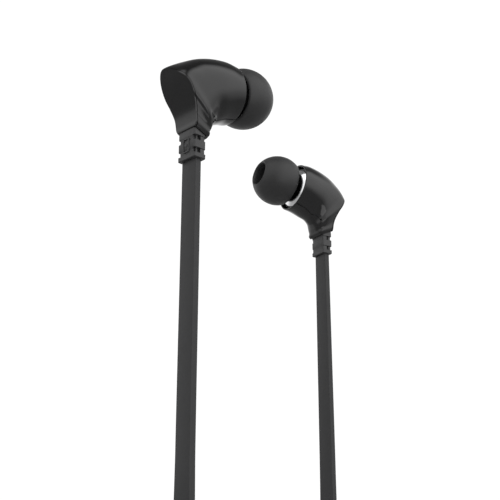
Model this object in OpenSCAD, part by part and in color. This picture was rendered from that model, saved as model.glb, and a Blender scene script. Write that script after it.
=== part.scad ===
// Wired in-ear earphones: two earbuds worn in the ears, flat cable, Y-splitter
// and a 3.5 mm stereo plug. The spare cable is folded into a tied hank.
// Millimetres. +Z is up. +X runs from the right earbud towards the left one.
// The origin is the centre of the right ear tip's open end.

/* [Earbuds] */
// Tilt of each earbud's barrel above level, degrees
barrel_tilt = 10; // [6:1:14]
// Outer radius of the barrel's front rim
rim_r = 6.0; // [5.8:0.1:6.4]
// Outer radius of the soft ear tip
tip_r = 6.1; // [5.6:0.1:6.6]
// Length of the soft ear tip along the barrel
tip_len = 8.6; // [8.2:0.1:9.4]

/* [Layout] */
// Distance between the two cables, left to right
bud_gap_x = 61; // [56:1:70]
// How far the left earbud stands behind the right one
bud_gap_y = 22.5; // [16:0.5:26]
// Turn of the left earbud away from facing the right one, degrees
left_turn = 13.2; // [8:0.2:16]

/* [Cable] */
// Width of the flat cable
cord_w = 3.9; // [3.5:0.1:4.0]
// Thickness of the flat cable
cord_t = 1.4; // [1.1:0.1:1.4]
// Height of the strain relief below each housing
relief_h = 6.0; // [5.6:0.1:6.6]

/* [Plug] */
// Diameter of the plug's grip
grip_d = 6.0; // [5.4:0.2:7.0]
// Length of the plug's grip
grip_len = 15; // [13:1:18]

/* [Hidden] */
$fn = 48;
part_black = [0.10, 0.10, 0.11];
soft_black = [0.16, 0.16, 0.17];
steel = [0.75, 0.75, 0.77];
gold = [0.85, 0.68, 0.35];
copper = [0.78, 0.45, 0.25];

// barrel stations, measured along the tilted barrel axis
axis_z = 9.1;
rim_s = 8.3;
plate_s = 6.5;
mouth_s = 18.6;
nozzle_r = 2.3;
nozzle_bore_r = 1.5;
nozzle_lip_r = 2.55;
nozzle_end_s = 14.6;
seat_r = 5.55;
bore_r = 4.75;
bore_s = -0.6;
neck_r = 3.5;
bore_step = 2.6;

// where each earbud's cable axis meets the bottom of its housing
base = [-mouth_s * cos(barrel_tilt), 0, -axis_z - mouth_s * sin(barrel_tilt)];
left_base = base + [bud_gap_x, bud_gap_y, -0.2];

// housing sections, front rim first: underside point, outer point (x, z),
// half width, squareness of the upper and the lower half, and lean, by which
// the upper half sits lower on the outward side; the outer points of the last
// six lie behind the back face, which cuts the rounded body off
rim_c = [rim_s * cos(barrel_tilt), axis_z + rim_s * sin(barrel_tilt)];
rim_up = [-sin(barrel_tilt), cos(barrel_tilt)];
sections = [
    [rim_c - rim_r * rim_up, rim_c + rim_r * rim_up, rim_r, 2, 2, 0],
    [[7.3, 4.1], [5.1, 16.5], 5.9, 2.05, 2, 0],
    [[5.5, 3.3], [2.1, 15.9], 5.6, 2.15, 2, 0.03],
    [[4.3, 2.7], [-1.0, 14.7], 5.1, 2.4, 2, 0.09],
    [[3.7, 2.1], [-3.6, 13.1], 4.6, 2.9, 2.2, 0.21],
    [[3.35, 1.6], [-5.7, 11.1], 4.15, 4.4, 2.6, 0.32],
    [[3.05, 0.95], [-6.5, 8.9], 4.05, 6.5, 3, 0.34],
    [[2.8, 0.35], [-5.3, 6.8], 3.65, 6, 3.4, 0.24],
    [[2.5, -0.35], [-3.9, 3.9], 3.1, 6, 4.2, 0.1],
    [[2.25, -0.95], [-2.8, 1.3], 3.0, 8, 7, 0],
    [[1.9, -1.5], [-2.5, 0.3], 2.6, 8, 8, 0],
];
// how much of its squareness the inward upper corner keeps, and how far a
// leaning section shifts outward
far_soft = 0.3;
lean_shift = 1.0;
// the hollowed back face in profile, bottom first
back_line = [
    [-1.2, -0.7], [-1.58, 0.1], [-1.6, 1.2], [-2.1, 3.2], [-2.9, 5.0],
    [-3.88, 6.7], [-4.85, 8.6], [-5.9, 11.0], [-7.1, 13.6],
];
ring_n = 32;
cover_t = 0.7;

// strain relief
relief_x = 2.6;
relief_y = 4.6;
slot_w = 1.6;
slot_h = 1.0;
slot_d = 0.5;

// hank of spare cable, in the upright plane through both cables:
// u runs from the right cable towards the left one, n across that plane
plane_a = atan2(bud_gap_y, bud_gap_x);
span_u = norm([bud_gap_x, bud_gap_y]);
hank_u = 40.4;
hank_top = -128;
hank_bottom = -188;
pair_r = 20.4;
pair_n = 2.1;
wind_out_r = 17.6;
wind_in_r = 11.6;
split_lo = -183;
split_hi = -163;
twist_start = -60;
twist_end = -95;
tail_u = 31.4;
tail_n = -9.5;
plug_z = -170;

// ---------------------------------------------------------------- helpers
function unit(v) = v / norm(v);
function signed_pow(a, e) = sign(a) * pow(abs(a), e);

module along_barrel(s = 0) {
    translate([0, 0, axis_z])
        rotate([0, 90 - barrel_tilt, 0])
            translate([0, 0, s])
                children();
}

module right_place() {
    translate(base)
        children();
}

module left_place() {
    translate(left_base)
        rotate([0, 0, 180 - left_turn])
            mirror([0, 1, 0])
                children();
}

// one housing section as a ring of points; -Y is the outward side
function section_ring(sec) =
    let (d = unit(sec[1] - sec[0]),
         half = norm(sec[1] - sec[0]) / 2,
         mid = (sec[0] + sec[1]) / 2,
         w = sec[2])
    [for (k = [0 : ring_n - 1])
        let (a = -360 * k / ring_n,
             upper = cos(a) > 0,
             soft = 2 + (sec[3] - 2) * far_soft,
             n = upper ? (sin(a) > 0 ? sec[3] : soft) : sec[4],
             y = signed_pow(sin(a), 2 / n),
             v = signed_pow(cos(a), 2 / n) * (upper ? 1 - sec[5] * y : 1),
             p = mid + d * half * v)
        [p[0], -(y * w + lean_shift * sec[5]), p[1]]];

// faces that join a stack of rings and close both ends
function stack_faces(rings, n) = concat(
    [[for (k = [0 : n - 1]) k]],
    [for (r = [0 : rings - 2], k = [0 : n - 1])
        let (a = r * n + k, b = r * n + (k + 1) % n)
        each [[a, a + n, b + n], [a, b + n, b]]],
    [[for (k = [n - 1 : -1 : 0]) (rings - 1) * n + k]]);

module skin(rings) {
    n = len(rings[0]);
    polyhedron(
        points = [for (r = rings) each r],
        faces = stack_faces(len(rings), n),
        convexity = 6);
}

module rounded_body() {
    skin([for (s = sections) section_ring(s)]);
}

// everything behind the back face moved forward by t
module behind_back(t) {
    reach = 14;
    bottom = back_line[0];
    top = back_line[len(back_line) - 1];
    rotate([90, 0, 0])
        linear_extrude(height = 2 * reach, center = true)
            polygon(concat(
                [bottom + [t, -3]],
                [for (p = back_line) p + [t, -t / 2]],
                [top + [-reach, 0], bottom + [-reach, -3]]));
}

module housing_solid() {
    difference() {
        rounded_body();
        behind_back(0);
    }
}

// room for the knot behind the driver, and the cable's way up through the stem
module wiring_chamber() {
    chamber = [6, 4.6, 4.8];
    stem_slot = [2.45, 4.0, 6];
    translate([-4, -chamber[1] / 2, 3.4])
        cube(chamber);
    translate([1.05 - stem_slot[0], -stem_slot[1] / 2, -2])
        cube(stem_slot);
}

// ---------------------------------------------------------------- earbud
// soft ear tip: domed flange outside, tube inside that grips the nozzle
tube_r = 3.25;
tip_bore_r = 2.65;
skirt_t = 0.7;

module tip_shape() {
    back = mouth_s - tip_len;
    mid = mouth_s - 5.5;
    lip_r = 3.05;
    rotate_extrude()
        polygon(concat(
            [[tip_bore_r, back + 0.2], [tip_bore_r, mouth_s - 0.9]],
            [[lip_r - 0.2, mouth_s - 0.15], [lip_r, mouth_s]],
            [for (a = [58 : -8 : -22])
                [tip_r * cos(a), mid + (a > 0 ? 6.3 : 6.1) * sin(a)]],
            [[5.15, back + 0.1], [4.75, back + 0.15]],
            [for (a = [-20 : 10 : 50])
                [(tip_r - skirt_t) * cos(a), mid + (tip_r - skirt_t - 0.2) * sin(a)]],
            [[tube_r, mouth_s - 2.6], [tube_r, back + 0.2]]));
}

module ear_tip() {
    along_barrel()
        tip_shape();
}

baffle_t = 0.7;
flange_r = 2.9;

module front_shell() {
    along_barrel()
        rotate_extrude()
            polygon([
                [nozzle_bore_r, plate_s], [seat_r, plate_s],
                [seat_r, plate_s + baffle_t], [flange_r, plate_s + baffle_t],
                [flange_r, plate_s + 2.8], [nozzle_r, plate_s + 3.1],
                [nozzle_r, nozzle_end_s - 1.6],
                [nozzle_lip_r, nozzle_end_s - 1.2],
                [nozzle_lip_r, nozzle_end_s - 0.8],
                [nozzle_r - 0.3, nozzle_end_s],
                [nozzle_bore_r + 0.3, nozzle_end_s],
                [nozzle_bore_r + 0.3, nozzle_end_s - 0.5],
                [nozzle_bore_r, nozzle_end_s - 0.5]]);
}

// bright domed ring between the nozzle and the housing's rim
module trim_ring() {
    along_barrel(plate_s + baffle_t)
        rotate_extrude()
            polygon([
                [flange_r, 0], [seat_r, 0], [seat_r, 0.1], [5.2, 0.55], [4.6, 1.15],
                [3.7, 1.85], [flange_r, 2.1]]);
}

module nozzle_mesh() {
    mesh_t = 0.3;
    along_barrel(nozzle_end_s - 0.5)
        cylinder(r = nozzle_bore_r + 0.3, h = mesh_t);
}

module main_housing() {
    lip = 0.4;
    difference() {
        rounded_body();
        behind_back(cover_t);
        wiring_chamber();
        along_barrel()
            rotate_extrude()
                polygon([
                    [0, bore_s], [neck_r, bore_s], [neck_r, bore_step], [bore_r, bore_step],
                    [bore_r, plate_s], [seat_r, plate_s],
                    [seat_r, rim_s - lip], [seat_r + lip / 2, rim_s + 0.1],
                    [seat_r + lip / 2, rim_s + 2], [0, rim_s + 2]]);
    }
}

module rear_cover() {
    intersection() {
        housing_solid();
        behind_back(cover_t);
    }
}

// raised mark that tells the two sides apart by touch
module side_mark(dots) {
    frame_w = 1.6;
    frame_h = 2.8;
    mark_z = -3.3;
    translate([-relief_x / 2 - 0.12, 0, mark_z])
        rotate([0, -90, 0])
            translate([0, 0, -0.2]) {
                linear_extrude(height = 0.32)
                    difference() {
                        square([frame_h, frame_w], center = true);
                        square([frame_h - 0.5, frame_w - 0.5], center = true);
                    }
                for (i = [0 : dots - 1])
                    translate([(i - (dots - 1) / 2) * 1.0, 0, 0])
                        cylinder(r = 0.3, h = 0.32);
            }
}

module strain_relief(dots) {
    top_back = -0.3;
    top_front = -1.4;
    tongue_x = 1.7;
    tongue_y = 3.7;
    difference() {
        union() {
            rotate([90, 0, 0])
                linear_extrude(height = relief_y, center = true)
                    polygon([
                        [-relief_x / 2, -relief_h], [relief_x / 2, -relief_h],
                        [relief_x / 2, top_front], [-relief_x / 2, top_back]]);
            translate([-tongue_x / 2, -tongue_y / 2, -1])
                cube([tongue_x, tongue_y, 2.6]);
            for (z = [-relief_h, -relief_h + 1.9])
                translate([-relief_x / 2, -relief_y / 2 - 0.18, z])
                    cube([relief_x, relief_y + 0.36, 0.9]);
        }
        for (side = [-1, 1], z = [-2.05, -4.6])
            translate([-0.3, side * relief_y / 2, z])
                cube([slot_w, 2 * slot_d, slot_h], center = true);
    }
    side_mark(dots);
}

// ---------------------------------------------------------------- driver
frame_r = 4.6;

module driver_frame() {
    along_barrel()
        rotate_extrude()
            polygon([
                [3.0, 1.5], [3.3, 1.5], [3.3, 3.0], [frame_r, 3.0],
                [frame_r, 6.3], [4.3, 6.3], [4.3, 5.7], [3.9, 5.7],
                [3.9, 3.4], [3.0, 3.4]]);
}

module diaphragm() {
    dome_r = 1.9;
    along_barrel()
        rotate_extrude()
            polygon([
                [0, 6.15], [0.7, 6.1], [1.4, 5.9], [dome_r, 5.55],
                [2.6, 5.85], [3.4, 5.95], [3.9, 5.72], [4.25, 5.72],
                [4.25, 5.82], [3.9, 5.82], [3.4, 6.07], [2.6, 5.97],
                [dome_r, 5.67], [1.4, 6.02], [0.7, 6.22], [0, 6.27]]);
}

module voice_coil() {
    along_barrel(3.9)
        difference() {
            cylinder(r = 2.1, h = 1.6);
            translate([0, 0, -1])
                cylinder(r = 1.85, h = 4);
        }
}

module top_plate() {
    along_barrel(4.0)
        cylinder(r = 1.75, h = 0.8);
}

module magnet() {
    along_barrel(2.0)
        cylinder(r = 1.75, h = 2.0);
}

module magnet_cup() {
    along_barrel(1.4)
        difference() {
            cylinder(r = 3.0, h = 3.2);
            translate([0, 0, 0.6])
                cylinder(r = 2.25, h = 4);
        }
}

module cable_knot() {
    knot_r = 0.75;
    loop_r = 0.95;
    stub_z = 1.6;
    knot_z = 5.6;
    translate([0, 0, knot_z])
        rotate([90, 0, 0])
            rotate_extrude()
                translate([loop_r, 0])
                    circle(r = knot_r, $fn = 24);
    translate([0, 0, stub_z])
        cylinder(r = knot_r, h = knot_z - loop_r - stub_z);
}

// ---------------------------------------------------------------- cable
function at(u, n, z) =
    base + [u * cos(plane_a) - n * sin(plane_a), u * sin(plane_a) + n * cos(plane_a), z];

cord_corner = 0.35;
cord_outline = [
    [cord_w / 2 - cord_corner, cord_t / 2], [cord_w / 2, cord_t / 2 - cord_corner],
    [cord_w / 2, cord_corner - cord_t / 2], [cord_w / 2 - cord_corner, -cord_t / 2],
    [cord_corner - cord_w / 2, -cord_t / 2], [-cord_w / 2, cord_corner - cord_t / 2],
    [-cord_w / 2, cord_t / 2 - cord_corner], [cord_corner - cord_w / 2, cord_t / 2]];

function tangent(r, i) =
    unit(r[min(i + 1, len(r) - 1)] - r[max(i - 1, 0)]);

// direction of the cable's flat width at height z: starts at a, is square to
// +X at twist_start and lies along the hank's width from twist_end on
function part_way(z, top, bottom) = max(0, min(1, (top - z) / (top - bottom)));
function flat_angle(a, z, z0) =
    a == 90 + plane_a ? a :
    a + (90 - a) * part_way(z, z0, base[2] + twist_start)
      + plane_a * part_way(z, base[2] + twist_start, base[2] + twist_end);

function cord_ring(p, t, a) =
    let (w0 = [cos(a), sin(a), 0],
         w = unit(w0 - (w0 * t) * t),
         b = cross(t, w))
    [for (q = cord_outline) p + q[0] * w + q[1] * b];

module flat_cord(route, a) {
    z0 = route[0][2];
    skin([for (i = [0 : len(route) - 1])
        cord_ring(route[i], tangent(route, i), flat_angle(a, route[i][2], z0))]);
}

function bottom_arc(r, n) =
    [for (a = [180 : 20 : 360]) at(hank_u + r * cos(a), n, hank_bottom + r * sin(a))];

pair_u = hank_u - pair_r;

right_route = concat(
    [at(0, 0, -relief_h), at(0, 0, -30), at(0, 0, -60), at(0, -0.2, -82)],
    [at(1, -0.6, -92), at(4, -1.2, -102), at(9, -1.7, -111), at(14.5, -2, -119)],
    [at(18.5, -pair_n, -128), at(pair_u, -pair_n, -138), at(pair_u, -pair_n, -162)],
    bottom_arc(pair_r, -pair_n),
    [at(hank_u + pair_r, -pair_n, split_lo)]);

left_route = concat(
    [at(span_u, 0, -relief_h - 0.2), at(span_u, 0, -30), at(span_u, 0, -60)],
    [at(span_u, 0.2, -80), at(63.5, 0.6, -88), at(58, 1.2, -95), at(49, 1.7, -99)],
    [at(39, 2, -102), at(30, pair_n, -107), at(23.5, pair_n, -116)],
    [at(20.8, pair_n, -127), at(pair_u, pair_n, -138), at(pair_u, pair_n, -162)],
    bottom_arc(pair_r, pair_n),
    [at(hank_u + pair_r, pair_n, split_lo)]);

lead_route = concat(
    [at(hank_u + pair_r, 0, split_hi), at(hank_u + pair_r, 0, -145)],
    [for (a = [0 : 15 : 120])
        let (r = pair_r - (pair_r - wind_out_r) * a / 180)
        at(hank_u + r * cos(a), 0, hank_top + r * sin(a))]);

tail_route = [
    at(hank_u - wind_in_r, 0, -140), at(hank_u - wind_in_r, 0, -147),
    at(29.0, -0.8, -151), at(29.6, -3.2, -155.5), at(30.4, -6.2, -160),
    at(31.0, -8.3, -163.5), at(31.3, -9.3, -166.5),
    at(tail_u, tail_n, plug_z + 1.5), at(tail_u, tail_n, plug_z)];

module stadium(r) {
    translate([0, hank_bottom])
        circle(r = r);
    translate([0, hank_top])
        circle(r = r);
    translate([-r, hank_bottom])
        square([2 * r, hank_top - hank_bottom]);
}

module in_plane() {
    translate(base)
        rotate([0, 0, plane_a])
            translate([hank_u, 0, 0])
                rotate([90, 0, 0])
                    children();
}

module cord_hank() {
    in_plane()
        linear_extrude(height = cord_w, center = true)
            difference() {
                stadium(wind_out_r + cord_t / 2);
                stadium(wind_in_r - cord_t / 2);
            }
}

module cable_strap() {
    strap_z = -146;
    strap_h = 10;
    strap_t = 0.8;
    half_u = pair_r + cord_t / 2 + 0.3;
    half_n = pair_n + cord_w / 2 + 0.3;
    translate(base)
        rotate([0, 0, plane_a])
            translate([hank_u, 0, strap_z])
                linear_extrude(height = strap_h)
                    difference() {
                        square([2 * (half_u + strap_t), 2 * (half_n + strap_t)], center = true);
                        square([2 * half_u, 2 * half_n], center = true);
                    }
}

// Y-splitter: two half shells around the joint
split_w = 9.6;
split_t = 4.0;

module splitter_half(side) {
    neck = 1.2;
    translate(base)
        rotate([0, 0, plane_a])
            translate([hank_u + pair_r, 0, split_lo])
                rotate([0, 0, side > 0 ? 0 : 180])
                    rotate([90, 0, 90])
                        linear_extrude(height = split_t / 2)
                            polygon([
                                [-split_w / 2, 0], [split_w / 2, 0],
                                [split_w / 2, 8], [cord_w / 2 + neck, split_hi - split_lo],
                                [-cord_w / 2 - neck, split_hi - split_lo], [-split_w / 2, 8]]);
}

// ---------------------------------------------------------------- plug
jack_r = 1.75;
collar_len = 1.5;
collar_r = 2.6;
sleeve_len = 8.2;
root_len = 3;
root_r = 1.2;
core_r = 1.1;
pin_r = 0.6;

module at_plug(h = 0) {
    translate(at(tail_u, tail_n, plug_z - h))
        rotate([180, 0, 0])
            children();
}

module plug_grip() {
    neck_len = 4;
    at_plug()
        difference() {
            rotate_extrude()
                polygon([
                    [0, 0], [2.2, 0], [2.35, neck_len], [grip_d / 2 - 0.2, neck_len + 0.6],
                    [grip_d / 2, neck_len + 1.2], [grip_d / 2, grip_len - 0.6],
                    [grip_d / 2 - 0.6, grip_len], [0, grip_len]]);
            translate([0, 0, grip_len - root_len])
                cylinder(r = root_r, h = root_len + 1);
        }
}

module plug_sleeve() {
    at_plug(grip_len)
        difference() {
            union() {
                translate([0, 0, -root_len])
                    cylinder(r = root_r, h = root_len + 0.5);
                cylinder(r = collar_r, h = collar_len);
                cylinder(r = jack_r, h = collar_len + sleeve_len);
            }
            translate([0, 0, collar_len])
                cylinder(r = core_r, h = sleeve_len + 1);
        }
}

module plug_insulators() {
    s0 = collar_len + sleeve_len;
    at_plug(grip_len)
        difference() {
            union() {
                translate([0, 0, collar_len])
                    cylinder(r = core_r, h = sleeve_len + 2.6);
                for (h = [s0, s0 + 2.0])
                    translate([0, 0, h])
                        cylinder(r = jack_r, h = 0.6);
            }
            translate([0, 0, collar_len - 1])
                cylinder(r = pin_r, h = sleeve_len + 5);
        }
}

module plug_ring() {
    at_plug(grip_len + collar_len + sleeve_len + 0.6)
        difference() {
            cylinder(r = jack_r, h = 1.4);
            translate([0, 0, -1])
                cylinder(r = core_r, h = 4);
        }
}

module plug_tip() {
    at_plug(grip_len + collar_len + sleeve_len + 2.6) {
        rotate_extrude()
            polygon([
                [0, 0], [jack_r, 0], [jack_r, 0.9], [1.25, 1.5],
                [jack_r, 2.3], [1.3, 3.0], [0.5, 3.6], [0, 3.7]]);
        translate([0, 0, -sleeve_len - 2.6])
            cylinder(r = pin_r, h = sleeve_len + 2.7);
    }
}

// ---------------------------------------------------------------- nodes
module right_ear_tip() { color(soft_black) right_place() ear_tip(); }
module right_nozzle_mesh() { color(steel) right_place() nozzle_mesh(); }
module right_front_shell() { color(part_black) right_place() front_shell(); }
module right_trim_ring() { color(steel) right_place() trim_ring(); }
module right_main_housing() { color(part_black) right_place() main_housing(); }
module right_rear_cover() { color(part_black) right_place() rear_cover(); }
module right_strain_relief() { color(soft_black) right_place() strain_relief(1); }
module right_driver_frame() { color(part_black) right_place() driver_frame(); }
module right_diaphragm() { color(steel) right_place() diaphragm(); }
module right_voice_coil() { color(copper) right_place() voice_coil(); }
module right_top_plate() { color(steel) right_place() top_plate(); }
module right_magnet() { color(steel) right_place() magnet(); }
module right_magnet_cup() { color(steel) right_place() magnet_cup(); }
module right_cable_knot() { color(copper) right_place() cable_knot(); }
module left_ear_tip() { color(soft_black) left_place() ear_tip(); }
module left_nozzle_mesh() { color(steel) left_place() nozzle_mesh(); }
module left_front_shell() { color(part_black) left_place() front_shell(); }
module left_trim_ring() { color(steel) left_place() trim_ring(); }
module left_main_housing() { color(part_black) left_place() main_housing(); }
module left_rear_cover() { color(part_black) left_place() rear_cover(); }
module left_strain_relief() { color(soft_black) left_place() strain_relief(2); }
module left_driver_frame() { color(part_black) left_place() driver_frame(); }
module left_diaphragm() { color(steel) left_place() diaphragm(); }
module left_voice_coil() { color(copper) left_place() voice_coil(); }
module left_top_plate() { color(steel) left_place() top_plate(); }
module left_magnet() { color(steel) left_place() magnet(); }
module left_magnet_cup() { color(steel) left_place() magnet_cup(); }
module left_cable_knot() { color(copper) left_place() cable_knot(); }
module right_branch() { color(soft_black) flat_cord(right_route, 91); }
module left_branch() { color(soft_black) flat_cord(left_route, 92 - left_turn); }
module trunk_lead() { color(soft_black) flat_cord(lead_route, 90 + plane_a); }
module trunk_hank() { color(soft_black) cord_hank(); }
module trunk_tail() { color(soft_black) flat_cord(tail_route, 90 + plane_a); }
module hank_strap() { color(part_black) cable_strap(); }
module splitter_front() { color(part_black) splitter_half(-1); }
module splitter_back() { color(part_black) splitter_half(1); }
module jack_grip() { color(part_black) plug_grip(); }
module jack_sleeve() { color(gold) plug_sleeve(); }
module jack_insulators() { color(part_black) plug_insulators(); }
module jack_ring() { color(gold) plug_ring(); }
module jack_tip() { color(gold) plug_tip(); }

right_ear_tip();
right_nozzle_mesh();
right_front_shell();
right_trim_ring();
right_main_housing();
right_rear_cover();
right_strain_relief();
right_driver_frame();
right_diaphragm();
right_voice_coil();
right_top_plate();
right_magnet();
right_magnet_cup();
right_cable_knot();
left_ear_tip();
left_nozzle_mesh();
left_front_shell();
left_trim_ring();
left_main_housing();
left_rear_cover();
left_strain_relief();
left_driver_frame();
left_diaphragm();
left_voice_coil();
left_top_plate();
left_magnet();
left_magnet_cup();
left_cable_knot();
right_branch();
left_branch();
trunk_lead();
trunk_hank();
trunk_tail();
hank_strap();
splitter_front();
splitter_back();
jack_grip();
jack_sleeve();
jack_insulators();
jack_ring();
jack_tip();
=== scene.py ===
import math
import bmesh
import bpy
import numpy as np
from mathutils import Matrix, Vector


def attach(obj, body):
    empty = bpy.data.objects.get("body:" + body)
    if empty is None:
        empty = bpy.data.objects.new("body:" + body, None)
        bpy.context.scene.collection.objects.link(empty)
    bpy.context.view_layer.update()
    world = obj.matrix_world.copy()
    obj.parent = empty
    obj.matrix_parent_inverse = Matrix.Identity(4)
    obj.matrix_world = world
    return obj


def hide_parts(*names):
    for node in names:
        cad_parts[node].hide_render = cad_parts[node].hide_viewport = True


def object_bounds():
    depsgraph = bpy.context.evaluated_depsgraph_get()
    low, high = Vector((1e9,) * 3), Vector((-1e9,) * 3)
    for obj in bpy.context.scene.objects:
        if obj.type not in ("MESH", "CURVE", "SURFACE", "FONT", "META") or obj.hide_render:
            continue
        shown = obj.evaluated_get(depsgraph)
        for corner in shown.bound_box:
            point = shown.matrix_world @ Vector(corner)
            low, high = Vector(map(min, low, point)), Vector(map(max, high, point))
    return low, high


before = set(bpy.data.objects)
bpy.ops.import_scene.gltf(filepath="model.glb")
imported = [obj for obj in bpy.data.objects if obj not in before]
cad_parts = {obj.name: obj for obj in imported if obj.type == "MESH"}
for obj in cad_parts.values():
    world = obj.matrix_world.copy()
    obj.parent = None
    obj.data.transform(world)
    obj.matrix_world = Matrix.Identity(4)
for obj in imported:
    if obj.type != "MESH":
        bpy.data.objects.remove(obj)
cad_low, cad_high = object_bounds()
MM = 0.001

# ------------------------------------------------------------------ design
# the same numbers as in part.scad, in millimetres and degrees

# each earbud: a tilted barrel above the stem's lower end
TILT = 10.0
AXIS_Z = 9.1
RIM_R = 6.0
RIM_S = 8.3
NOZZLE_END = 14.6
MOUTH_S = 18.6
TIP_R = 6.1
TIP_LEN = 8.6
COS_TILT = math.cos(math.radians(TILT))
SIN_TILT = math.sin(math.radians(TILT))

# the left earbud's stem, seen from the right one's
GAP_X, GAP_Y, GAP_Z = 61.0, 22.5, -0.2
LEFT_TURN = 13.2

# cable and strain relief
CORD_W, CORD_T = 3.9, 1.4
RELIEF_X, RELIEF_Y, RELIEF_H = 2.6, 4.6, 6.0

# the upright plane through both stems: u along it, n across it, z up
PLANE_A = math.atan2(GAP_Y, GAP_X)
SPAN_U = math.hypot(GAP_X, GAP_Y)

# hank: its centre line, the two branches' outer loop and the trunk's windings
HANK_U, HANK_TOP, HANK_BOTTOM = 40.4, -128.0, -188.0
PAIR_R, PAIR_N = 20.4, 2.1
PAIR_U = HANK_U - PAIR_R
WIND_OUT, WIND_STEP, WIND_HALVES = 17.6, 0.75, 9
SPLIT_LO, SPLIT_HI = -183.0, -163.0
TWIST_START, TWIST_END = -60.0, -95.0
STRAP_Z, STRAP_H, STRAP_T = -146.0, 10.0, 0.8

# plug
TAIL_U, TAIL_N, PLUG_Z = 31.4, -9.5, -170.0
GRIP_D, GRIP_LEN = 6.0, 15.0

BASE = np.array([-MOUTH_S * COS_TILT, 0.0, -AXIS_Z - MOUTH_S * SIN_TILT])
LEFT_BASE = BASE + [GAP_X, GAP_Y, GAP_Z]
BUD = {
    "right": Matrix.Translation(Vector(BASE)),
    "left": Matrix.Translation(Vector(LEFT_BASE)) @ Matrix.Rotation(math.radians(180 - LEFT_TURN), 4, "Z"),
}
BARREL = Matrix.Translation((0, 0, AXIS_Z)) @ Matrix.Rotation(math.radians(90 - TILT), 4, "Y")
PLANE = Matrix.Translation(Vector(BASE)) @ Matrix.Rotation(PLANE_A, 4, "Z")
SIZE = Matrix.Scale(MM, 4)

# ------------------------------------------------------------------ camera
CAMERA_AT = (-0.1136, -0.1164, -0.0834)
CAMERA_LENS = 63.04
CAMERA_RISE, CAMERA_HEADING = 17.66, -43.44


def make_camera():
    cam = bpy.data.objects.new("camera", bpy.data.cameras.new("camera"))
    bpy.context.scene.collection.objects.link(cam)
    cam.data.sensor_width = 36.0
    cam.data.lens = CAMERA_LENS
    cam.data.clip_start = 0.005
    cam.location = CAMERA_AT
    cam.rotation_euler = (math.radians(90 + CAMERA_RISE), 0, math.radians(CAMERA_HEADING))
    bpy.context.scene.camera = cam


make_camera()


# ------------------------------------------------------------------ mesh helpers
def crease(bm, degrees):
    """Marks the edges that turn by more than the angle as sharp."""
    for e in bm.edges:
        e.smooth = not (len(e.link_faces) == 2 and e.calc_face_angle(0) > math.radians(degrees))


def new_object(name, verts, faces, matrix, smooth=True, sharp_deg=38.0):
    """A mesh object whose millimetre points are placed in the row frame in metres."""
    place = SIZE @ matrix
    me = bpy.data.meshes.new(name)
    me.from_pydata([place @ Vector(v) for v in verts], [], faces)
    ob = bpy.data.objects.new(name, me)
    bpy.context.scene.collection.objects.link(ob)
    bm = bmesh.new()
    bm.from_mesh(me)
    bmesh.ops.remove_doubles(bm, verts=bm.verts, dist=1e-7)
    bmesh.ops.dissolve_degenerate(bm, edges=bm.edges, dist=1e-7)
    bmesh.ops.recalc_face_normals(bm, faces=bm.faces)
    for f in bm.faces:
        f.smooth = smooth
    crease(bm, sharp_deg)
    bm.to_mesh(me)
    bm.free()
    return ob


def grid_faces(rows, cols, close_rows=False):
    """Quads between rows of points that each close on themselves."""
    out = []
    for r in range(rows if close_rows else rows - 1):
        above = (r + 1) % rows * cols
        for c in range(cols):
            nxt = (c + 1) % cols
            out.append((r * cols + c, r * cols + nxt, above + nxt, above + c))
    return out


def capped_faces(rows, cols):
    """grid_faces with the first and the last row closed."""
    return grid_faces(rows, cols) + [tuple(range(cols)), tuple(range((rows - 1) * cols, rows * cols))]


def flat_list(rows):
    return [point for row in rows for point in row]


def lathe(name, profile, matrix, n=96, closed=False, sharp_deg=38.0):
    """Turns (radius, height) points about Z."""
    angles = [2 * math.pi * k / n for k in range(n)]
    verts = [(r * math.cos(a), r * math.sin(a), z) for r, z in profile for a in angles]
    faces = grid_faces(len(profile), n, close_rows=closed)
    return new_object(name, verts, faces, matrix, sharp_deg=sharp_deg)


def arc_pts(cx, cy, r, a0, a1, n, ry=None):
    """n points on a circle, or on an ellipse where ry is given, from a0 to a1 degrees."""
    ry = r if ry is None else ry
    angles = [math.radians(a0 + (a1 - a0) * i / (n - 1)) for i in range(n)]
    return [(cx + r * math.cos(a), cy + ry * math.sin(a)) for a in angles]


def rounded_rect(hx, hy, r, n=5):
    """A rectangle of half sizes hx and hy with corners of radius r."""
    corners = ((hx - r, hy - r), (-hx + r, hy - r), (-hx + r, -hy + r), (hx - r, -hy + r))
    return flat_list([arc_pts(cx, cy, r, 90 * k, 90 * k + 90, n) for k, (cx, cy) in enumerate(corners)])


BOX_FACES = [(0, 1, 3, 2), (4, 6, 7, 5), (0, 4, 5, 1), (2, 3, 7, 6), (0, 2, 6, 4), (1, 5, 7, 3)]


def box_points(xs, ys, zs):
    """The eight corners that go with BOX_FACES."""
    return [(x, y, z) for x in xs for y in ys for z in zs]


def bevel(ob, width, segments=2, angle=35.0):
    m = ob.modifiers.new("bevel", "BEVEL")
    m.width = width * MM
    m.segments = segments
    m.limit_method = "ANGLE"
    m.angle_limit = math.radians(angle)
    m.harden_normals = False


def boolean(ob, tool, operation):
    """Applies the tool to the object and removes the tool."""
    mod = ob.modifiers.new("cut", "BOOLEAN")
    mod.object = tool
    mod.operation = operation
    mod.solver = "EXACT"
    bpy.context.view_layer.update()
    dg = bpy.context.evaluated_depsgraph_get()
    me = bpy.data.meshes.new_from_object(ob.evaluated_get(dg))
    ob.modifiers.clear()
    ob.data = me
    bpy.data.objects.remove(tool)


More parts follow.
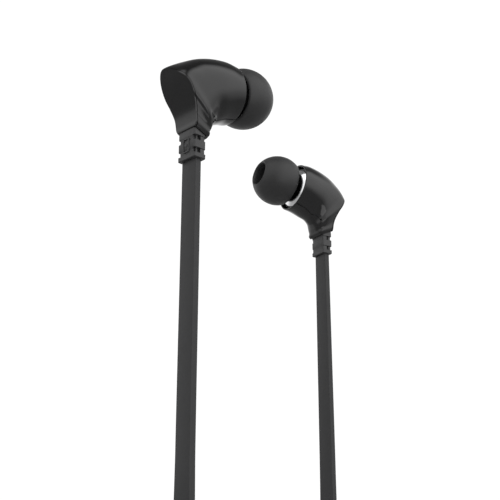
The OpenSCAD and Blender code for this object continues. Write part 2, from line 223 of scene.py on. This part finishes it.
def catmull(points, per):
    """A smooth curve through the points, with `per` steps on each stretch."""
    p = np.array(points, float)
    ext = np.vstack([2 * p[0] - p[1], p, 2 * p[-1] - p[-2]])
    out = []
    for i in range(1, len(ext) - 2):
        a, b, c, d = ext[i - 1], ext[i], ext[i + 1], ext[i + 2]
        steps = per if np.isscalar(per) else per[i - 1]
        for k in range(steps):
            t = k / steps
            out.append(0.5 * ((2 * b) + (c - a) * t + (2 * a - 5 * b + 4 * c - d) * t * t
                              + (3 * b - a - 3 * c + d) * t ** 3))
    out.append(p[-1])
    return np.array(out)


def unit(v):
    v = np.array(v, float)
    return v / np.linalg.norm(v)


# ------------------------------------------------------------------ materials
def material(name, base, rough, metallic=0.0, sheen=0.0, specular=0.5, vary=0.0, vary_scale=300.0,
             bump=0.0, bump_scale=2000.0, rough_vary=0.0):
    """A principled surface whose colour, roughness and height vary by noise in the object's own space."""
    m = bpy.data.materials.new(name)
    m.use_nodes = True
    nt = m.node_tree
    bsdf = nt.nodes["Principled BSDF"]
    bsdf.inputs["Base Color"].default_value = (*base, 1)
    bsdf.inputs["Roughness"].default_value = rough
    bsdf.inputs["Metallic"].default_value = metallic
    bsdf.inputs["Sheen Weight"].default_value = sheen
    bsdf.inputs["Sheen Roughness"].default_value = 0.4
    bsdf.inputs["Specular IOR Level"].default_value = specular
    coord = nt.nodes.new("ShaderNodeTexCoord")

    def noise(scale, detail):
        n = nt.nodes.new("ShaderNodeTexNoise")
        n.inputs["Scale"].default_value = scale
        n.inputs["Detail"].default_value = detail
        nt.links.new(coord.outputs["Object"], n.inputs["Vector"])
        return n.outputs["Fac"]

    if vary:
        ramp = nt.nodes.new("ShaderNodeValToRGB")
        dark, light = ramp.color_ramp.elements
        dark.position = 0.3
        dark.color = (*[max(0, c * (1 - vary)) for c in base], 1)
        light.position = 0.7
        light.color = (*[min(1, c * (1 + vary)) for c in base], 1)
        nt.links.new(noise(vary_scale, 4), ramp.inputs["Fac"])
        nt.links.new(ramp.outputs["Color"], bsdf.inputs["Base Color"])
    if rough_vary:
        spread = nt.nodes.new("ShaderNodeMapRange")
        spread.inputs["To Min"].default_value = max(0, rough - rough_vary)
        spread.inputs["To Max"].default_value = min(1, rough + rough_vary)
        nt.links.new(noise(vary_scale * 2, 3), spread.inputs["Value"])
        nt.links.new(spread.outputs["Result"], bsdf.inputs["Roughness"])
    if bump:
        relief = nt.nodes.new("ShaderNodeBump")
        relief.inputs["Strength"].default_value = bump
        relief.inputs["Distance"].default_value = 0.00005
        nt.links.new(noise(bump_scale, 3), relief.inputs["Height"])
        nt.links.new(relief.outputs["Normal"], bsdf.inputs["Normal"])
    return m


MAT = {
    # housings and their parting line
    "gloss": material("gloss_black", (0.005, 0.005, 0.0053), 0.12, vary=0.08, rough_vary=0.03),
    "groove": material("groove_black", (0.004, 0.004, 0.004), 0.7, vary=0.1, specular=0.1),
    "chrome": material("bright_trim", (0.9, 0.9, 0.91), 0.16, metallic=1.0, rough_vary=0.02, vary=0.02),
    # rubbers
    "tip": material("tip_silicone", (0.015, 0.015, 0.0155), 0.5, sheen=0.06, vary=0.08, bump=0.12,
                    bump_scale=2600, rough_vary=0.05),
    "cable": material("cable_rubber", (0.02, 0.02, 0.021), 0.55, specular=0.4, vary=0.07,
                      vary_scale=500, bump=0.15, bump_scale=3000, rough_vary=0.05),
    "relief": material("relief_rubber", (0.029, 0.029, 0.03), 0.5, vary=0.08, bump=0.2,
                       bump_scale=3500, rough_vary=0.05),
    # plastics, strap and plug contacts
    "matte": material("matte_plastic", (0.03, 0.03, 0.032), 0.42, vary=0.08, bump=0.2,
                      bump_scale=4000, rough_vary=0.05),
    "strap": material("strap_weave", (0.03, 0.03, 0.033), 0.9, sheen=0.4, vary=0.25,
                      vary_scale=1500, bump=0.8, bump_scale=2500),
    "gold": material("jack_gold", (0.83, 0.62, 0.30), 0.18, metallic=1.0, vary=0.05, rough_vary=0.04),
    # inside the earbuds
    "steel": material("steel_mesh", (0.30, 0.30, 0.31), 0.35, metallic=1.0, vary=0.2,
                      vary_scale=6000, bump=0.6, bump_scale=6000),
    "plated": material("driver_steel", (0.55, 0.55, 0.57), 0.3, metallic=1.0, vary=0.06, rough_vary=0.05),
    "copper": material("coil_copper", (0.72, 0.38, 0.20), 0.35, metallic=1.0, vary=0.1, rough_vary=0.05),
    "film": material("driver_film", (0.5, 0.5, 0.52), 0.3, vary=0.06, rough_vary=0.05),
    "insulator": material("driver_plastic", (0.02, 0.02, 0.02), 0.5, vary=0.1, rough_vary=0.05),
}


def paint(ob, mat):
    ob.data.materials.clear()
    ob.data.materials.append(MAT[mat])


def dress(ob, mat, body="earphones", nodes=()):
    """Gives a new piece its material and the body it rides on, and hides the CAD nodes it replaces."""
    paint(ob, mat)
    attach(ob, body)
    if nodes:
        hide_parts(*nodes)


# ------------------------------------------------------------------ cords
CORD_EDGE_R = 0.2
CORD_STEP = 1.6
RIGHT_BEARING = math.radians(91)
LEFT_BEARING = math.radians(92 - LEFT_TURN)
HANK_BEARING = math.pi / 2 + PLANE_A


def at(u, n, z):
    """A point of the plane through both stems."""
    return np.array(PLANE @ Vector((u, n, z)))


def ribbon(name, path, bearings):
    """A flat cord with rounded edges, swept along the path; a bearing is the flat width's heading."""
    outline = rounded_rect(CORD_W / 2, CORD_T / 2, CORD_EDGE_R)
    rows = []
    for i, p in enumerate(path):
        along = unit(path[min(i + 1, len(path) - 1)] - path[max(i - 1, 0)])
        heading = np.array([math.cos(bearings[i]), math.sin(bearings[i]), 0])
        wide = unit(heading - (heading @ along) * along)
        thick = np.cross(along, wide)
        rows.append([p + q[0] * wide + q[1] * thick for q in outline])
    faces = capped_faces(len(rows), len(outline))
    return new_object(name, flat_list(rows), faces, Matrix.Identity(4), sharp_deg=60)


def resample(path, step):
    """The path at even steps, and its length."""
    d = np.r_[0, np.cumsum(np.linalg.norm(np.diff(path, axis=0), axis=1))]
    n = max(2, int(round(d[-1] / step)) + 1)
    s = np.linspace(0, d[-1], n)
    return np.stack([np.interp(s, d, path[:, k]) for k in range(3)], 1), d[-1]


def branch_bearings(path, top):
    """From `top` at the strain relief to across the plane of the hank."""
    z_top, z_start, z_end = path[0][2], BASE[2] + TWIST_START, BASE[2] + TWIST_END
    out = []
    for p in path:
        straighten = min(1.0, max(0.0, (z_top - p[2]) / (z_top - z_start)))
        turn = min(1.0, max(0.0, (z_start - p[2]) / (z_start - z_end)))
        out.append(top + (math.pi / 2 - top) * straighten + PLANE_A * turn)
    return out


def branch_end(n):
    """Down the outer side of the hank, round its bottom and up into the splitter."""
    turn = [at(HANK_U + u, n, z) for u, z in arc_pts(0, HANK_BOTTOM, PAIR_R, 180, 360, 10)]
    return [at(PAIR_U, n, -138), at(PAIR_U, n, -162)] + turn + [at(HANK_U + PAIR_R, n, SPLIT_LO)]


def right_route():
    return [at(*q) for q in (
        (0, 0, -RELIEF_H), (0, 0, -30), (0, 0, -60), (0, -0.2, -82),
        (1, -0.6, -92), (4, -1.2, -102), (9, -1.7, -111), (14.5, -2, -119),
        (18.5, -PAIR_N, -128))] + branch_end(-PAIR_N)


def left_route():
    return [at(*q) for q in (
        (SPAN_U, 0, -RELIEF_H + GAP_Z), (SPAN_U, 0, -30), (SPAN_U, 0, -60), (SPAN_U, 0.2, -80),
        (63.5, 0.6, -88), (58, 1.2, -95), (49, 1.7, -99), (39, 2, -102),
        (30, PAIR_N, -107), (23.5, PAIR_N, -116), (20.8, PAIR_N, -127))] + branch_end(PAIR_N)


def winding():
    """Half turns over the top and under the bottom of the hank, each tighter than the last."""
    out = []
    r = PAIR_R
    for half in range(WIND_HALVES):
        over = half % 2 == 0
        first = 0 if over else 180
        zc = HANK_TOP if over else HANK_BOTTOM
        r_end = WIND_OUT - WIND_STEP * half
        for k in range(19):
            a = math.radians(first + 10 * k)
            rr = r + (r_end - r) * k / 18
            out.append(at(HANK_U + rr * math.cos(a), 0, zc + rr * math.sin(a)))
        r = r_end
        if half < WIND_HALVES - 1:
            u = HANK_U - r if over else HANK_U + r
            for g in (0.3, 0.7):
                down = g if over else 1 - g
                out.append(at(u, 0, HANK_TOP + (HANK_BOTTOM - HANK_TOP) * down))
    return out, r


def trunk_route():
    turns, r = winding()
    lead = [at(HANK_U + PAIR_R, 0, SPLIT_HI), at(HANK_U + PAIR_R, 0, -145)]
    tail = [at(*q) for q in (
        (HANK_U - r, 0, -140), (HANK_U - r, 0, -147), (29.0, -0.8, -151), (29.6, -3.2, -155.5),
        (30.4, -6.2, -160), (31.0, -8.3, -163.5), (31.3, -9.3, -166.5),
        (TAIL_U, TAIL_N, PLUG_Z + 1.5), (TAIL_U, TAIL_N, PLUG_Z))]
    return lead + turns + tail


def make_cord(name, route, bearings_of, nodes):
    path, length = resample(catmull(route, 6), CORD_STEP)
    ob = ribbon(name, path, bearings_of(path))
    dress(ob, "cable", nodes=nodes)
    return ob, path, length


cords = {
    "right": make_cord("right_cable", right_route(), lambda p: branch_bearings(p, RIGHT_BEARING),
                       ["right_branch"]),
    "left": make_cord("left_cable", left_route(), lambda p: branch_bearings(p, LEFT_BEARING),
                      ["left_branch"]),
    "trunk": make_cord("trunk_cable", trunk_route(), lambda p: [HANK_BEARING] * len(p),
                       ["trunk_lead", "trunk_hank", "trunk_tail"]),
}

# ------------------------------------------------------------------ housing
# rows from the rim to the stem's lower end: underside point x, z; outer point x, z; half width;
# squareness of the upper and the lower half; lean, by which the upper half sits lower on the
# outward side. The outer points of the last rows lie behind the back face, which cuts them off.
RIM_X = RIM_S * COS_TILT
RIM_Z = AXIS_Z + RIM_S * SIN_TILT
SECTIONS = [
    (RIM_X + RIM_R * SIN_TILT, RIM_Z - RIM_R * COS_TILT,
     RIM_X - RIM_R * SIN_TILT, RIM_Z + RIM_R * COS_TILT, RIM_R, 2.0, 2.0, 0),
    (7.3, 4.1, 5.1, 16.5, 5.9, 2.05, 2.0, 0),
    (5.5, 3.3, 2.1, 15.9, 5.6, 2.15, 2.0, 0.03),
    (4.3, 2.7, -1.0, 14.7, 5.1, 2.4, 2.0, 0.09),
    (3.7, 2.1, -3.6, 13.1, 4.6, 2.9, 2.2, 0.21),
    (3.35, 1.6, -5.7, 11.1, 4.15, 4.4, 2.6, 0.32),
    (3.05, 0.95, -6.5, 8.9, 4.05, 6.5, 3.0, 0.34),
    (2.8, 0.35, -5.3, 6.8, 3.65, 6.0, 3.4, 0.24),
    (2.5, -0.35, -3.9, 3.9, 3.1, 6.0, 4.2, 0.1),
    (2.25, -0.95, -2.8, 1.3, 3.0, 8.0, 7.0, 0),
    (1.9, -1.5, -2.5, 0.3, 2.6, 8.0, 8.0, 0),
]
SECTION_STEPS = [6, 6, 6, 8, 12, 10, 10, 10, 6, 2]
# the back face, seen from the side: x, z from the stem upwards
BACK = [(-1.2, -0.7), (-1.58, 0.1), (-1.6, 1.2), (-2.1, 3.2), (-2.9, 5.0), (-3.88, 6.7),
        (-4.85, 8.6), (-5.9, 11.0), (-7.1, 13.6)]
# the outward side of each earbud along its own y; the other side is rounder, by FAR_SOFT
FACE_SIDE = {"right": -1.0, "left": 1.0}
FAR_SOFT = 0.3
LEAN_SHIFT = 1.0
RIM_WALL = 0.42
COVER_T = 0.3
SEAM = 0.14
BED_INSET = 0.22
CUT_REACH = 14.0
SEAT_S = 6.6


def power(c, e):
    return math.copysign(abs(c) ** e, c)


def body_ring(section, side, inset, n_ring):
    """One squared-off oval of the housing, between its underside point and its outer point."""
    ux, uz, ox, oz, width, upper, lower, lean = section
    under, outer = np.array([ux, uz]), np.array([ox, oz])
    half = np.linalg.norm(outer - under) / 2
    across = (outer - under) / (2 * half)
    middle = (under + outer) / 2
    ring = []
    for k in range(n_ring):
        a = 2 * math.pi * k / n_ring
        squareness = upper if math.sin(a) > 0 else 2 + (upper - 2) * FAR_SOFT
        e = 2 / squareness if math.cos(a) > 0 else 2 / lower
        v = power(math.cos(a), e) * (half - inset)
        y = power(math.sin(a), e) * (width - inset)
        if v > 0:
            v *= 1 - lean * y / width
        x, z = middle + across * v
        ring.append((x, (y + LEAN_SHIFT * lean) * FACE_SIDE[side], z))
    return ring


def body_solid(name, side, inset=0.0, n_ring=96):
    rings = [body_ring(s, side, inset, n_ring) for s in catmull(SECTIONS, SECTION_STEPS)]
    return new_object(name, flat_list(rings), capped_faces(len(rings), n_ring), BUD[side])


def back_prism(side, depth):
    """The space behind the back face moved forward by depth."""
    line = [(x + depth, z - depth / 2) for x, z in catmull(BACK, 8)]
    line.insert(0, (line[0][0], line[0][1] - 4.0))
    line += [(line[-1][0] - CUT_REACH, line[-1][1]), (line[0][0] - CUT_REACH, line[0][1])]
    n = len(line)
    verts = [(x, y, z) for y in (-CUT_REACH, CUT_REACH) for x, z in line]
    return new_object("back_tool", verts, capped_faces(2, n), BUD[side], smooth=False)


def bore_tool(side, r, s0, s1, n=96):
    """A cylinder on the barrel's axis."""
    circle = [(r * math.cos(2 * math.pi * k / n), r * math.sin(2 * math.pi * k / n)) for k in range(n)]
    verts = [(x, y, s) for s in (s0, s1) for x, y in circle]
    return new_object("bore_tool", verts, capped_faces(2, n), BUD[side] @ BARREL, smooth=False)


def cut(ob, tool, operation="DIFFERENCE"):
    """A boolean, then merged slivers and fresh creases."""
    boolean(ob, tool, operation)
    bm = bmesh.new()
    bm.from_mesh(ob.data)
    bmesh.ops.remove_doubles(bm, verts=bm.verts, dist=4e-7)
    bmesh.ops.dissolve_degenerate(bm, edges=bm.edges, dist=4e-7)
    for f in bm.faces:
        f.smooth = True
    crease(bm, 40)
    bm.to_mesh(ob.data)
    bm.free()


def make_housing(side):
    """The shell, the back cover and the dark bed that shows in the parting line between them."""
    shell = body_solid(f"{side}_housing_shell", side)
    cut(shell, back_prism(side, COVER_T + SEAM))
    cut(shell, bore_tool(side, RIM_R - RIM_WALL, SEAT_S, 12.0))
    bevel(shell, 0.07, 2, 45)
    dress(shell, "gloss", nodes=[f"{side}_main_housing"])
    plate = body_solid(f"{side}_back_plate", side)
    cut(plate, back_prism(side, 0.0))
    cut(plate, back_prism(side, COVER_T), "INTERSECT")
    bevel(plate, 0.07, 2, 45)
    dress(plate, "gloss", nodes=[f"{side}_rear_cover"])
    bed = body_solid(f"{side}_parting_bed", side, inset=BED_INSET)
    cut(bed, back_prism(side, 0.15))
    cut(bed, back_prism(side, 1.2), "INTERSECT")
    dress(bed, "groove")


# ------------------------------------------------------------------ front of the barrel
# (radius, distance along the barrel) outlines
TRIM_OUTLINE = [(2.75, 9.35), (3.2, 9.28), (3.7, 9.05), (4.2, 8.7), (4.6, 8.36), (4.95, 8.02),
                (5.2, 7.74), (5.38, 7.5), (5.5, 7.3), (5.5, 7.2)]
NOZZLE_OUTLINE = [(2.7, 7.0), (2.7, 9.4), (2.6, 9.48), (2.4, 9.52), (2.32, 9.6), (2.3, 9.8), (2.3, 13.0),
                  (2.5, 13.35), (2.55, 13.5), (2.55, 13.8), (2.3, 14.2), (2.0, NOZZLE_END),
                  (1.8, NOZZLE_END), (1.78, 14.1), (1.5, 14.1), (1.5, 7.0)]


def make_front(side):
    """The rim's rounded lip, the bright ring inside it and the nozzle."""
    place = BUD[side] @ BARREL
    r_in = RIM_R - RIM_WALL
    rim = [(RIM_R, RIM_S - 0.02)] + arc_pts(RIM_R - RIM_WALL / 2, RIM_S, RIM_WALL / 2, 0, 180, 9)
    rim += [(r_in, RIM_S - 0.4), (r_in - 0.02, SEAT_S), (r_in - 0.7, SEAT_S)]
    lip = lathe(f"{side}_rim", rim, place, n=128, sharp_deg=50)
    dress(lip, "gloss")
    ring = lathe(f"{side}_trim_plate", TRIM_OUTLINE, place, n=128)
    dress(ring, "chrome", nodes=[f"{side}_trim_ring"])
    nozzle = lathe(f"{side}_nozzle", NOZZLE_OUTLINE, place)
    dress(nozzle, "matte", nodes=[f"{side}_front_shell"])


def make_tip(side):
    """The soft tip: a stem on the nozzle, a rolled mouth, the dome and its hollow skirt."""
    back, mid = MOUTH_S - TIP_LEN, MOUTH_S - 5.5
    stem = [(2.65, back + 0.2), (2.65, 13.3), (2.6, 13.6), (2.65, 13.9), (2.62, MOUTH_S - 1.6)]
    mouth = [(2.68, MOUTH_S - 0.8), (2.78, MOUTH_S - 0.35), (2.9, MOUTH_S - 0.12),
             (3.02, MOUTH_S - 0.04), (3.12, MOUTH_S - 0.07)]
    dome = arc_pts(0, mid, TIP_R, 58.5, 0, 26, ry=6.3) + arc_pts(0, mid, TIP_R, -3, -28, 10, ry=6.1)
    hem = [(5.25, back + 0.12), (5.08, back + 0.05), (4.92, back + 0.12), (4.95, back + 0.6)]
    hollow = arc_pts(0, mid, TIP_R - 0.7, -24, 48, 14, ry=5.0)
    hollow += [(3.3, MOUTH_S - 2.4), (3.25, MOUTH_S - 4), (3.25, back + 0.4), (3.1, back + 0.2)]
    outline = stem + mouth + dome + hem + hollow + [(2.8, back + 0.12)]
    tip = lathe(f"{side}_soft_tip", outline, BUD[side] @ BARREL, n=128, closed=True, sharp_deg=60)
    dress(tip, "tip", body=f"{side}_tip", nodes=[f"{side}_ear_tip"])


# ------------------------------------------------------------------ strain relief
# height and how far the sleeve stands out there: collars at the bottom, the middle and the top
SLEEVE = [(-RELIEF_H, -0.3), (-RELIEF_H, 0.05), (-RELIEF_H + 0.08, 0.2), (-5.15, 0.22), (-5.05, 0.02),
          (-4.15, 0.0), (-4.05, 0.16), (-2.55, 0.17), (-2.45, 0.0), (-1.65, 0.0), (-1.55, 0.14),
          (-1.0, 0.14), (-0.6, 0.10)]
SLEEVE_CORNER = 0.42
# above this height the sleeve follows the housing's slanted lower end
SLANT_FROM = -1.4
SLOTS_Z = (-2.05, -4.6)
SLOT_HALF = 0.52
MARK_Z = -3.3


def make_sleeve(side, hx, hy):
    rows = []
    for z, out in SLEEVE:
        row = []
        for x, y in rounded_rect(hx + out * 0.5, hy + out, SLEEVE_CORNER):
            top = -0.05 - 0.413 * (x - SLANT_FROM)
            rise = max(0.0, (z - SLANT_FROM) / 0.8)
            row.append((x, y, z if rise == 0 else SLANT_FROM + rise * (top - SLANT_FROM)))
        rows.append(row)
    faces = capped_faces(len(rows), len(rows[0]))
    return new_object(f"{side}_relief_sleeve", flat_list(rows), faces, BUD[side], sharp_deg=40)


def slot_tool(side, hy):
    """Four blocks that open the slots through to the cable's edge."""
    verts, faces = [], []
    for sign in (-1, 1):
        for z in SLOTS_Z:
            faces += [tuple(len(verts) + q for q in f) for f in BOX_FACES]
            verts += box_points((-1.5, 0.15), (sign * (hy - 0.55), sign * (hy + 0.6)),
                                (z - SLOT_HALF, z + SLOT_HALF))
    return new_object("slot_tool", verts, faces, BUD[side], smooth=False)


def make_relief(side):
    hx, hy = RELIEF_X / 2, RELIEF_Y / 2
    sleeve = make_sleeve(side, hx, hy)
    boolean(sleeve, slot_tool(side, hy), "DIFFERENCE")
    dress(sleeve, "relief", nodes=[f"{side}_strain_relief"])
    for j, z in enumerate(SLOTS_Z):
        for sign, letter in ((-1, "a"), (1, "b")):
            verts = box_points((-0.78, -0.46), (sign * (hy - 0.42), sign * (hy - 0.22)),
                               (z - SLOT_HALF - 0.01, z + SLOT_HALF + 0.01))
            name = f"{side}_slot_bridge_{j}{letter}"
            bridge = new_object(name, verts, BOX_FACES, BUD[side], smooth=False)
            dress(bridge, "relief")
    make_mark(side, hx)


def make_mark(side, hx):
    """A raised frame with dots that tells the sides apart by touch."""
    dots = {"right": 1, "left": 2}[side]
    x0 = -hx - 0.05
    rows = []
    for inward, rise in ((0.0, 0.0), (0.05, 0.2), (0.22, 0.2), (0.27, 0.02)):
        outline = rounded_rect(0.88 - inward, 1.45 - inward, 0.35 - inward * 0.6, n=6)
        rows.append([(x0 - rise, y, z + MARK_Z) for y, z in outline])
    faces = grid_faces(len(rows), len(rows[0]))
    border = new_object(f"{side}_mark_frame", flat_list(rows), faces, BUD[side])
    dress(border, "relief")
    outline = [(0.34, -0.02), (0.33, 0.1), (0.26, 0.17), (0.12, 0.2), (0.001, 0.205)]
    for i in range(dots):
        centre = Matrix.Translation((x0, 0, MARK_Z + (i - (dots - 1) / 2) * 1.0))
        place = BUD[side] @ centre @ Matrix.Rotation(math.radians(-90), 4, "Y")
        dress(lathe(f"{side}_mark_dot_{i}", outline, place, n=32), "relief")


for side in ("right", "left"):
    make_housing(side)
    make_front(side)
    make_tip(side)
    make_relief(side)

# ------------------------------------------------------------------ splitter, strap and plug
# the splitter's height and half width there
SPLITTER_WIDTHS = ((0, 4.3), (0.4, 4.75), (8, 4.75), (12, 4.3), (16, 3.5), (19.6, 3.05), (20, 2.8))


def make_splitter():
    """Two half shells that meet in the plane of the trunk."""
    place = PLANE @ Matrix.Translation((HANK_U + PAIR_R, 0, SPLIT_LO))
    for name, s in (("splitter_front", -1), ("splitter_back", 1)):
        rows = []
        for z, w in SPLITTER_WIDTHS:
            edge = 0.35 if 0 < z < 20 else 0.6
            half = [(0.03, -w), (1.95 - edge, -w), (1.95, -w + edge * 1.2), (2.0, -w + 1.4), (2.0, 0),
                    (2.0, w - 1.4), (1.95, w - edge * 1.2), (1.95 - edge, w), (0.03, w)]
            rows.append([(s * x, y, z) for x, y in half])
        faces = capped_faces(len(rows), len(rows[0]))
        shell = new_object(name + "_shell", flat_list(rows), faces, place, sharp_deg=30)
        bevel(shell, 0.25, 3)
        dress(shell, "matte", nodes=[name])


def make_strap():
    """A band right round the hank."""
    hu, hn = PAIR_R + CORD_T / 2 + 0.3, PAIR_N + CORD_W / 2 + 0.3
    rows = []
    for out, z in ((0.05, 0.0), (STRAP_T - 0.1, 0.0), (STRAP_T, 0.15), (STRAP_T, STRAP_H - 0.15),
                   (STRAP_T - 0.1, STRAP_H), (0.05, STRAP_H)):
        rows.append([(x, y, z) for x, y in rounded_rect(hu + out, hn + out, 1.6 + out, n=7)])
    faces = grid_faces(len(rows), len(rows[0]), close_rows=True)
    place = PLANE @ Matrix.Translation((HANK_U, 0, STRAP_Z))
    band = new_object("strap_band", flat_list(rows), faces, place, sharp_deg=50)
    dress(band, "strap", nodes=["hank_strap"])


def make_plug():
    """The grip, pointing down: a ribbed sleeve, a shoulder and a grooved body."""
    r = GRIP_D / 2
    outline = [(0.001, 0.0), (1.9, 0.0), (2.1, 0.15)]
    for z in (0.4 + k * 0.95 for k in range(4)):
        outline += [(2.15, z), (2.15, z + 0.35), (1.85, z + 0.45), (1.85, z + 0.75)]
    outline += [(2.2, 4.1), (2.5, 4.4), (r - 0.15, 4.75), (r, 5.2), (r, 6.6)]
    for z in (7.0 + k * 1.05 for k in range(6)):
        outline += [(r, z), (r - 0.12, z + 0.12), (r - 0.12, z + 0.42), (r, z + 0.54)]
    outline += [(r, GRIP_LEN - 0.7), (r - 0.12, GRIP_LEN - 0.3), (r - 0.5, GRIP_LEN - 0.02)]
    outline.append((0.001, GRIP_LEN))
    place = Matrix.Translation(Vector(at(TAIL_U, TAIL_N, PLUG_Z))) @ Matrix.Rotation(math.pi, 4, "X")
    grip = lathe("plug_grip_body", outline, place, n=64, sharp_deg=30)
    dress(grip, "matte", nodes=["jack_grip"])


make_splitter()
make_strap()
make_plug()

# ------------------------------------------------------------------ CAD nodes that stay
BUD_NODES = {
    "nozzle_mesh": "steel",
    "driver_frame": "insulator",
    "diaphragm": "film",
    "voice_coil": "copper",
    "top_plate": "plated",
    "magnet": "plated",
    "magnet_cup": "plated",
    "cable_knot": "cable",
}
PLUG_NODES = {
    "jack_sleeve": "gold",
    "jack_ring": "gold",
    "jack_tip": "gold",
    "jack_insulators": "insulator",
}

for side in ("right", "left"):
    for part, mat in BUD_NODES.items():
        paint(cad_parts[f"{side}_{part}"], mat)
for part, mat in PLUG_NODES.items():
    paint(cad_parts[part], mat)


# ------------------------------------------------------------------ stage
FLOOR_R = 2200
FLOOR_GAP = 6
WHITE = 1.05
# the studio's brightness by height, from straight down (0) to straight up (1)
STUDIO = ((0.0, 0.42), (0.36, 0.4), (0.48, 1.0), (0.51, WHITE), (0.80, WHITE), (0.87, 0.25), (1.0, 0.12))
# soft-edged patches of it: brightness, azimuth, elevation, outer and inner radius in degrees
PATCHES = (
    (0.4, -4, -2, 28, 10),
    (0.35, 140, -14, 24, 10),
    (1.65, -80, 36, 46, 24),
    (1.6, -170, 58, 22, 12),
)
LIT_POINT = Vector((0.02, 0.01, -0.012))


def make_floor():
    edge = arc_pts(0, 0, FLOOR_R, 0, 357, 120)
    below = Matrix.Translation((0, 0, cad_low[2] / MM - FLOOR_GAP))
    verts = [(x, y, 0) for x, y in edge]
    floor = new_object("floor", verts, [tuple(range(len(edge)))], below, smooth=False)
    pale = material("floor_pale", (0.8, 0.8, 0.8), 0.8, specular=0.0, vary=0.01, vary_scale=5)
    floor.data.materials.append(pale)
    floor.visible_glossy = False


def make_studio():
    """The light from all round; the camera sees it as plain white."""
    world = bpy.data.worlds.new("studio")
    bpy.context.scene.world = world
    world.use_nodes = True
    nt = world.node_tree
    coord = nt.nodes.new("ShaderNodeTexCoord")

    def by_height():
        split = nt.nodes.new("ShaderNodeSeparateXYZ")
        to_unit = nt.nodes.new("ShaderNodeMapRange")
        to_unit.inputs["From Min"].default_value = -1
        ramp = nt.nodes.new("ShaderNodeValToRGB")
        nt.links.new(coord.outputs["Generated"], split.inputs[0])
        nt.links.new(split.outputs["Z"], to_unit.inputs["Value"])
        nt.links.new(to_unit.outputs["Result"], ramp.inputs["Fac"])
        stops = ramp.color_ramp.elements
        while len(stops) > 1:
            stops.remove(stops[-1])
        for i, (position, level) in enumerate(STUDIO):
            stop = stops[0] if i == 0 else stops.new(position)
            stop.position = position
            stop.color = (level, level, level, 1)
        return ramp.outputs["Color"]

    def patch(azimuth, elevation, outer, inner):
        """1 within `inner` degrees of a direction, 0 beyond `outer`."""
        az, el = math.radians(azimuth), math.radians(elevation)
        level_part = math.cos(el)
        dot = nt.nodes.new("ShaderNodeVectorMath")
        dot.operation = "DOT_PRODUCT"
        dot.inputs[1].default_value = (level_part * math.cos(az), level_part * math.sin(az), math.sin(el))
        nt.links.new(coord.outputs["Generated"], dot.inputs[0])
        step = nt.nodes.new("ShaderNodeMapRange")
        step.interpolation_type = "SMOOTHSTEP"
        step.inputs["From Min"].default_value = math.cos(math.radians(outer))
        step.inputs["From Max"].default_value = math.cos(math.radians(inner))
        nt.links.new(dot.outputs["Value"], step.inputs["Value"])
        return step.outputs["Result"]

    def mix(below, level, amount):
        m = nt.nodes.new("ShaderNodeMix")
        m.data_type = "FLOAT"
        nt.links.new(amount, m.inputs["Factor"])
        nt.links.new(below, m.inputs["A"])
        m.inputs["B"].default_value = level
        return m.outputs["Result"]

    level = by_height()
    for brightness, *where in PATCHES:
        level = mix(level, brightness, patch(*where))
    rays = nt.nodes.new("ShaderNodeLightPath")
    level = mix(level, WHITE, rays.outputs["Is Camera Ray"])
    background = nt.nodes["Background"]
    background.inputs["Color"].default_value = (1, 1, 1, 1)
    nt.links.new(level, background.inputs["Strength"])


def softbox(name, loc, size, watts, diffuse, glossy):
    """An area light turned to the earbuds, for diffuse light or for highlights."""
    light = bpy.data.lights.new(name, "AREA")
    light.shape = "RECTANGLE"
    light.size, light.size_y = size
    light.energy = watts
    ob = bpy.data.objects.new(name, light)
    bpy.context.scene.collection.objects.link(ob)
    ob.location = loc
    ob.rotation_euler = (LIT_POINT - Vector(loc)).to_track_quat("-Z", "Y").to_euler()
    ob.visible_diffuse = diffuse
    ob.visible_glossy = glossy
    ob.visible_camera = False


make_floor()
make_studio()
softbox("key", (4.0, -4.0, 2.2), (4.9, 1.55), 20.0, diffuse=True, glossy=False)
softbox("low_fill", (-0.13, -0.56, -0.165), (0.55, 0.22), 0.5, diffuse=False, glossy=True)
bpy.context.scene.view_settings.view_transform = "Standard"
bpy.context.scene.view_settings.look = "None"
